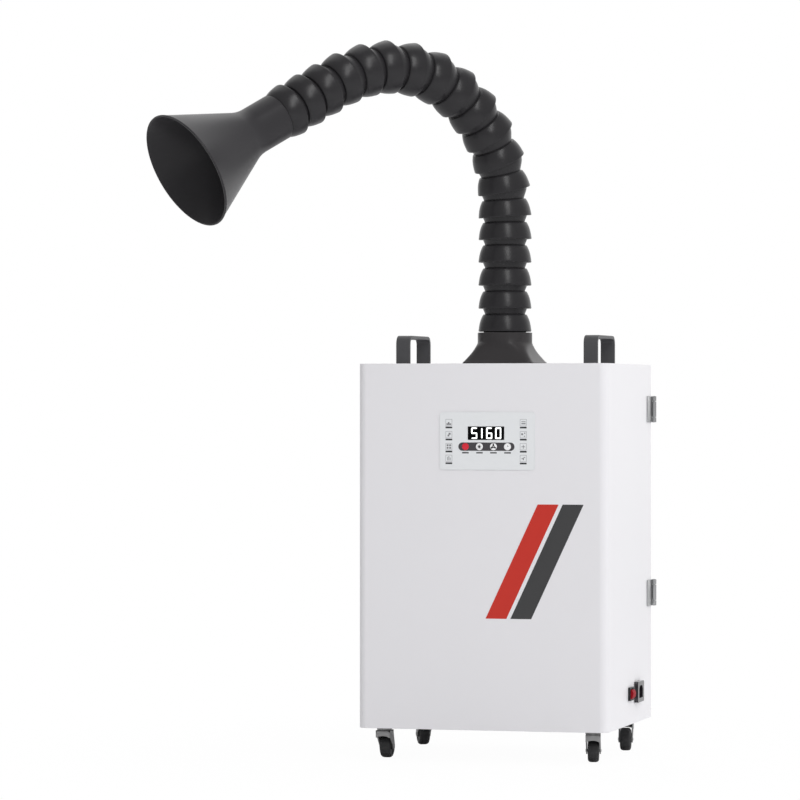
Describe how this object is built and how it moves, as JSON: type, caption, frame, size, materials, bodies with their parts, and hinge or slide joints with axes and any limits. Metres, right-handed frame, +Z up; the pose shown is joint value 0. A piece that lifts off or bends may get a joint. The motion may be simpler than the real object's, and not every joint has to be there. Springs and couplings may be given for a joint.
{
  "type": "mobile fume extractor",
  "caption": "Mobile fume extractor: steel cabinet on casters with filters, blower and control panel, and a ball-jointed arm with a funnel hood.",
  "frame": {"origin": "centre of the cabinet underside, between the four caster plates", "axes": "+Z up, -Y towards the front with the control panel, +X to the right side with the switch and the mains inlet"},
  "size_m": [0.5934, 0.6036, 0.9857],
  "materials": {
    "white_coat": "satin powder coat",
    "handle_plastic": "matte",
    "steel": "satin",
    "galvanised_sheet": "satin",
    "carbon": "matte",
    "filter_paper": "matte",
    "motor_metal": "satin",
    "arm_plastic": "satin",
    "overlay_foil": "satin",
    "display_glass": "gloss",
    "circuit_board": "satin",
    "black_plastic": "satin",
    "red_plastic": "gloss",
    "foam": "matte",
    "zinc": "satin",
    "red_key": "satin",
    "grey_key": "satin",
    "wheel_rubber": "satin"
  },
  "bodies": {
    "cabinet": {"cabinet_shell": "white_coat", "base_pan": "white_coat", "rear_vent_panel": "white_coat", "handle_left": "handle_plastic", "handle_right": "handle_plastic", "hinge_upper_cabinet_leaf": "steel", "hinge_lower_cabinet_leaf": "steel", "filter_shelf": "galvanised_sheet", "carbon_filter": "carbon", "hepa_filter": "filter_paper", "prefilter": "filter_paper", "blower_volute": "galvanised_sheet", "blower_motor": "motor_metal", "control_overlay": "overlay_foil", "display_window": "display_glass", "control_board": "circuit_board", "power_supply": "motor_metal", "switch_housing": "black_plastic", "power_inlet": "black_plastic", "arm_base": "arm_plastic"},
    "door": {"rear_door": "white_coat", "door_gasket": "foam", "lock_body": "zinc", "hinge_upper_door_leaf": "steel", "hinge_lower_door_leaf": "steel"},
    "lock": {"lock_rotor": "zinc"},
    "rocker": {"switch_rocker": "red_plastic"},
    "impeller": {"impeller": "arm_plastic"},
    "key_1": {"key_1": "red_key"},
    "key_2": {"key_2": "grey_key"},
    "key_3": {"key_3": "grey_key"},
    "key_4": {"key_4": "grey_key"},
    "fork_front_left": {"caster_fork_front_left": "zinc"},
    "wheel_front_left": {"caster_wheel_front_left": "wheel_rubber"},
    "fork_front_right": {"caster_fork_front_right": "zinc"},
    "wheel_front_right": {"caster_wheel_front_right": "wheel_rubber"},
    "fork_rear_left": {"caster_fork_rear_left": "zinc"},
    "wheel_rear_left": {"caster_wheel_rear_left": "wheel_rubber"},
    "fork_rear_right": {"caster_fork_rear_right": "zinc"},
    "wheel_rear_right": {"caster_wheel_rear_right": "wheel_rubber"},
    "segment_01": {"arm_segment_01": "arm_plastic"},
    "segment_02": {"arm_segment_02": "arm_plastic"},
    "segment_03": {"arm_segment_03": "arm_plastic"},
    "segment_04": {"arm_segment_04": "arm_plastic"},
    "segment_05": {"arm_segment_05": "arm_plastic"},
    "segment_06": {"arm_segment_06": "arm_plastic"},
    "segment_07": {"arm_segment_07": "arm_plastic"},
    "segment_08": {"arm_segment_08": "arm_plastic"},
    "segment_09": {"arm_segment_09": "arm_plastic"},
    "segment_10": {"arm_segment_10": "arm_plastic"},
    "segment_11": {"arm_segment_11": "arm_plastic"},
    "segment_12": {"arm_segment_12": "arm_plastic"},
    "segment_13": {"arm_segment_13": "arm_plastic"},
    "segment_14": {"arm_segment_14": "arm_plastic"},
    "segment_15": {"arm_segment_15": "arm_plastic"},
    "segment_16": {"arm_segment_16": "arm_plastic"},
    "segment_17": {"arm_segment_17": "arm_plastic"},
    "segment_18": {"arm_segment_18": "arm_plastic"},
    "segment_19": {"arm_segment_19": "arm_plastic"},
    "hood": {"hood": "arm_plastic"}
  },
  "joints": [
    {"name": "rear_door_hinge", "type": "hinge", "parent": "cabinet", "child": "door", "pos_m": [0.1789, 0.14915, 0.30675], "axis": [0, 0, -1], "range_deg": [0, 180]},
    {"name": "lock_turn", "type": "hinge", "parent": "door", "child": "lock", "pos_m": [-0.1485, 0.145, 0.30675], "axis": [0, -1, 0], "range_deg": [0, 90]},
    {"name": "rocker_tilt", "type": "hinge", "parent": "cabinet", "child": "rocker", "pos_m": [0.1735, 0, 0.043], "axis": [0, -1, 0], "range_deg": [0, 16]},
    {"name": "impeller_spin", "type": "hinge", "parent": "cabinet", "child": "impeller", "pos_m": [-0.012, -0.01406, 0.06], "axis": [0, 0, 1], "continuous": true},
    {"name": "key_1_press", "type": "slide", "parent": "cabinet", "child": "key_1", "axis": [0, 1, 0], "range_m": [0, 0.0006], "stiffness_N_per_m": 1500, "springref_m": -0.0004},
    {"name": "key_2_press", "type": "slide", "parent": "cabinet", "child": "key_2", "axis": [0, 1, 0], "range_m": [0, 0.0006], "stiffness_N_per_m": 1500, "springref_m": -0.0004},
    {"name": "key_3_press", "type": "slide", "parent": "cabinet", "child": "key_3", "axis": [0, 1, 0], "range_m": [0, 0.0006], "stiffness_N_per_m": 1500, "springref_m": -0.0004},
    {"name": "key_4_press", "type": "slide", "parent": "cabinet", "child": "key_4", "axis": [0, 1, 0], "range_m": [0, 0.0006], "stiffness_N_per_m": 1500, "springref_m": -0.0004},
    {"name": "swivel_front_left", "type": "hinge", "parent": "cabinet", "child": "fork_front_left", "pos_m": [-0.147, -0.11, -0.005], "axis": [0, 0, 1], "continuous": true},
    {"name": "roll_front_left", "type": "hinge", "parent": "fork_front_left", "child": "wheel_front_left", "pos_m": [-0.147, -0.097, -0.028], "axis": [1, 0, 0], "continuous": true},
    {"name": "swivel_front_right", "type": "hinge", "parent": "cabinet", "child": "fork_front_right", "pos_m": [0.147, -0.11, -0.005], "axis": [0, 0, 1], "continuous": true},
    {"name": "roll_front_right", "type": "hinge", "parent": "fork_front_right", "child": "wheel_front_right", "pos_m": [0.14474, -0.0972, -0.028], "axis": [0.9848, 0.1736, 0], "continuous": true},
    {"name": "swivel_rear_left", "type": "hinge", "parent": "cabinet", "child": "fork_rear_left", "pos_m": [-0.147, 0.11, -0.005], "axis": [0, 0, 1], "continuous": true},
    {"name": "roll_rear_left", "type": "hinge", "parent": "fork_rear_left", "child": "wheel_rear_left", "pos_m": [-0.1527, 0.12168, -0.028], "axis": [0.8988, 0.4384, 0], "continuous": true},
    {"name": "swivel_rear_right", "type": "hinge", "parent": "cabinet", "child": "fork_rear_right", "pos_m": [0.147, 0.11, -0.005], "axis": [0, 0, 1], "continuous": true},
    {"name": "roll_rear_right", "type": "hinge", "parent": "fork_rear_right", "child": "wheel_rear_right", "pos_m": [0.14881, 0.09713, -0.028], "axis": [-0.9903, -0.1392, 0], "continuous": true},
    {"name": "arm_swivel", "type": "hinge", "parent": "cabinet", "child": "segment_01", "pos_m": [0, -0.012, 0.5579], "axis": [0, 0, 1], "continuous": true},
    {"name": "arm_nod_02", "type": "hinge", "parent": "segment_01", "child": "segment_02", "pos_m": [0, -0.012, 0.59], "axis": [0.7373, -0.6756, 0], "range_deg": [-8, 8]},
    {"name": "arm_sway_03", "type": "hinge", "parent": "segment_02", "child": "segment_03", "pos_m": [0, -0.012, 0.6221], "axis": [-0.6756, -0.7373, 0], "range_deg": [-8, 8]},
    {"name": "arm_nod_04", "type": "hinge", "parent": "segment_03", "child": "segment_04", "pos_m": [0, -0.012, 0.6542], "axis": [0.7373, -0.6756, 0], "range_deg": [-8, 8]},
    {"name": "arm_nod_05", "type": "hinge", "parent": "segment_04", "child": "segment_05", "pos_m": [0, -0.012, 0.6863], "axis": [-0.7373, 0.6756, 0], "range_deg": [-6.5, 9.5]},
    {"name": "arm_nod_06", "type": "hinge", "parent": "segment_05", "child": "segment_06", "pos_m": [-0.00057, -0.01262, 0.71839], "axis": [0.7373, -0.6756, 0], "range_deg": [-10.5, 4.5]},
    {"name": "arm_nod_07", "type": "hinge", "parent": "segment_06", "child": "segment_07", "pos_m": [-0.00224, -0.01445, 0.74989], "axis": [-0.7373, 0.6756, 0], "range_deg": [-3, 21]},
    {"name": "arm_nod_08", "type": "hinge", "parent": "segment_07", "child": "segment_08", "pos_m": [-0.00794, -0.02066, 0.78499], "axis": [0.7373, -0.6756, 0], "range_deg": [-28, 2]},
    {"name": "arm_nod_09", "type": "hinge", "parent": "segment_08", "child": "segment_09", "pos_m": [-0.01972, -0.03352, 0.81999], "axis": [-0.7373, 0.6756, 0], "range_deg": [-2.5, 27.5]},
    {"name": "arm_nod_10", "type": "hinge", "parent": "segment_09", "child": "segment_10", "pos_m": [-0.03635, -0.05167, 0.85037], "axis": [0.7373, -0.6756, 0], "range_deg": [-25, 3]},
    {"name": "arm_nod_11", "type": "hinge", "parent": "segment_10", "child": "segment_11", "pos_m": [-0.05606, -0.07318, 0.87486], "axis": [-0.7373, 0.6756, 0], "range_deg": [-4, 27]},
    {"name": "arm_nod_12", "type": "hinge", "parent": "segment_11", "child": "segment_12", "pos_m": [-0.07958, -0.09884, 0.89376], "axis": [0.7373, -0.6756, 0], "range_deg": [-30, 2]},
    {"name": "arm_nod_13", "type": "hinge", "parent": "segment_12", "child": "segment_13", "pos_m": [-0.1058, -0.12746, 0.9038], "axis": [-0.7373, 0.6756, 0], "range_deg": [-2.5, 28.5]},
    {"name": "arm_nod_14", "type": "hinge", "parent": "segment_13", "child": "segment_14", "pos_m": [-0.13255, -0.15665, 0.90483], "axis": [0.7373, -0.6756, 0], "range_deg": [-27, 2]},
    {"name": "arm_nod_15", "type": "hinge", "parent": "segment_14", "child": "segment_15", "pos_m": [-0.15815, -0.18459, 0.89747], "axis": [-0.7373, 0.6756, 0], "range_deg": [-2, 21]},
    {"name": "arm_nod_16", "type": "hinge", "parent": "segment_15", "child": "segment_16", "pos_m": [-0.18068, -0.20917, 0.885], "axis": [0.7373, -0.6756, 0], "range_deg": [-20, 7]},
    {"name": "arm_nod_17", "type": "hinge", "parent": "segment_16", "child": "segment_17", "pos_m": [-0.20331, -0.23387, 0.86793], "axis": [-0.7373, 0.6756, 0], "range_deg": [-9.5, 12.5]},
    {"name": "arm_sway_18", "type": "hinge", "parent": "segment_17", "child": "segment_18", "pos_m": [-0.22415, -0.25661, 0.85118], "axis": [0.3224, 0.3518, -0.8788], "range_deg": [-7.5, 7.5]},
    {"name": "arm_nod_19", "type": "hinge", "parent": "segment_18", "child": "segment_19", "pos_m": [-0.24291, -0.27709, 0.83611], "axis": [-0.7373, 0.6756, 0], "range_deg": [-7.5, 7.5]},
    {"name": "hood_turn", "type": "hinge", "parent": "segment_19", "child": "hood", "pos_m": [-0.2495, -0.28428, 0.83081], "axis": [-0.5937, -0.6479, -0.4772], "continuous": true}
  ]
}
